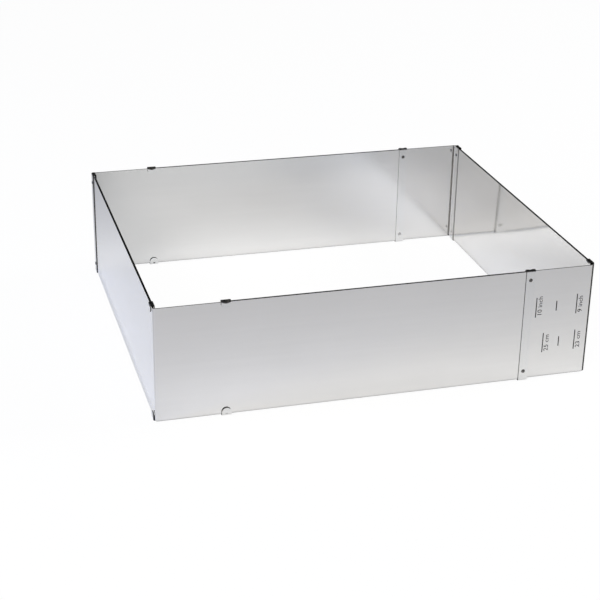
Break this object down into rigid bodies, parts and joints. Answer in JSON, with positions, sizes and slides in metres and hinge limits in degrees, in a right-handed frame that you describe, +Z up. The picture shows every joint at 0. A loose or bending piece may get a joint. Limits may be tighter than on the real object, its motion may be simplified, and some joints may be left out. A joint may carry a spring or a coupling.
{
  "type": "adjustable cake frame",
  "caption": "Rectangular open baking frame whose overlapping steel angles slide apart in length and width, guided by riveted end clips.",
  "frame": {"origin": "centre of the footprint at the height of the surface that the frame stands on", "axes": "+X along the longer, drawn-out walls, +Y to the back wall, +Z up"},
  "size_m": [0.2598, 0.2252, 0.0701],
  "materials": {
    "sheet_steel": "bright rolled stainless sheet",
    "clip_steel": "satin stamped stainless strip",
    "rivet_steel": "dull set rivet head",
    "scale_ink": "printed scale marks"
  },
  "bodies": {
    "front_left": {"front_left_angle": "sheet_steel", "front_left_front_clip": "clip_steel", "front_left_front_rivet_bottom": "rivet_steel", "front_left_front_rivet_top": "rivet_steel", "front_left_left_clip": "clip_steel", "front_left_left_rivet_bottom": "rivet_steel", "front_left_left_rivet_top": "rivet_steel"},
    "front_right": {"front_right_angle": "sheet_steel", "front_right_right_clip": "clip_steel", "front_right_right_rivet_bottom": "rivet_steel", "front_right_right_rivet_top": "rivet_steel", "front_right_front_clip": "clip_steel", "front_right_front_rivet_bottom": "rivet_steel", "front_right_front_rivet_top": "rivet_steel"},
    "back_left": {"back_left_angle": "sheet_steel", "back_left_left_clip": "clip_steel", "back_left_left_rivet_bottom": "rivet_steel", "back_left_left_rivet_top": "rivet_steel", "back_left_back_clip": "clip_steel", "back_left_back_rivet_bottom": "rivet_steel", "back_left_back_rivet_top": "rivet_steel"},
    "back_right": {"back_right_angle": "sheet_steel", "back_right_back_clip": "clip_steel", "back_right_back_rivet_bottom": "rivet_steel", "back_right_back_rivet_top": "rivet_steel", "back_right_right_clip": "clip_steel", "back_right_right_rivet_bottom": "rivet_steel", "back_right_right_rivet_top": "rivet_steel"}
  },
  "joints": [
    {"name": "length_slide", "type": "slide", "parent": "front_left", "child": "front_right", "axis": [1, 0, 0], "range_m": [-0.0345, 0.172]},
    {"name": "width_slide", "type": "slide", "parent": "front_left", "child": "back_left", "axis": [0, 1, 0], "range_m": [0, 0.2065]},
    {"name": "right_width_slide", "type": "slide", "parent": "front_right", "child": "back_right", "axis": [0, 1, 0], "range_m": [0, 0.2065]}
  ],
  "couplings": [
    {"joint": "right_width_slide", "follows": "width_slide", "ratio": 1}
  ]
}
